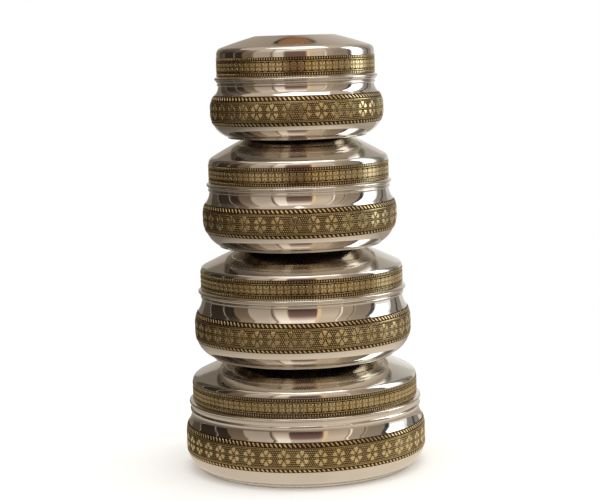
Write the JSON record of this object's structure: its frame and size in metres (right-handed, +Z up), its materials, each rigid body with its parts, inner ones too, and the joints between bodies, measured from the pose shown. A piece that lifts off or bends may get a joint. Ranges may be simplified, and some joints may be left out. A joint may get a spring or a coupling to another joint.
{
  "type": "stacked lidded containers",
  "caption": "Stack of graduated bellied steel containers with lift-off domed lids and decorated brass strips round bellies and lids; they nest when emptied.",
  "frame": {"origin": "centre of the face that the bottom container stands on", "axes": "+Z up along the common axis of all the containers; the stack is round, so +X and +Y are free"},
  "size_m": [0.1856, 0.1856, 0.3306],
  "materials": {
    "steel": "mirror-polished stainless steel",
    "strip": "embossed brass with darkened recesses"
  },
  "bodies": {
    "bottom_bowl": {"bottom_bowl": "steel", "bottom_belly_strip": "strip"},
    "bottom_lid": {"bottom_lid": "steel", "bottom_lid_strip": "strip"},
    "lower_bowl": {"lower_bowl": "steel", "lower_belly_strip": "strip"},
    "lower_lid": {"lower_lid": "steel", "lower_lid_strip": "strip"},
    "upper_bowl": {"upper_bowl": "steel", "upper_belly_strip": "strip"},
    "upper_lid": {"upper_lid": "steel", "upper_lid_strip": "strip"},
    "top_bowl": {"top_bowl": "steel", "top_belly_strip": "strip"},
    "top_lid": {"top_lid": "steel", "top_lid_strip": "strip"}
  },
  "joints": [
    {"name": "bottom_lid_lift", "type": "slide", "parent": "bottom_bowl", "child": "bottom_lid", "axis": [0, 0, 1], "range_m": [0, 0.045]},
    {"name": "lower_bowl_lift", "type": "slide", "parent": "bottom_lid", "child": "lower_bowl", "axis": [0, 0, 1], "range_m": [0, 0.03]},
    {"name": "lower_lid_lift", "type": "slide", "parent": "lower_bowl", "child": "lower_lid", "axis": [0, 0, 1], "range_m": [0, 0.045]},
    {"name": "upper_bowl_lift", "type": "slide", "parent": "lower_lid", "child": "upper_bowl", "axis": [0, 0, 1], "range_m": [0, 0.03]},
    {"name": "upper_lid_lift", "type": "slide", "parent": "upper_bowl", "child": "upper_lid", "axis": [0, 0, 1], "range_m": [0, 0.045]},
    {"name": "top_bowl_lift", "type": "slide", "parent": "upper_lid", "child": "top_bowl", "axis": [0, 0, 1], "range_m": [0, 0.03]},
    {"name": "top_lid_lift", "type": "slide", "parent": "top_bowl", "child": "top_lid", "axis": [0, 0, 1], "range_m": [0, 0.045]}
  ]
}
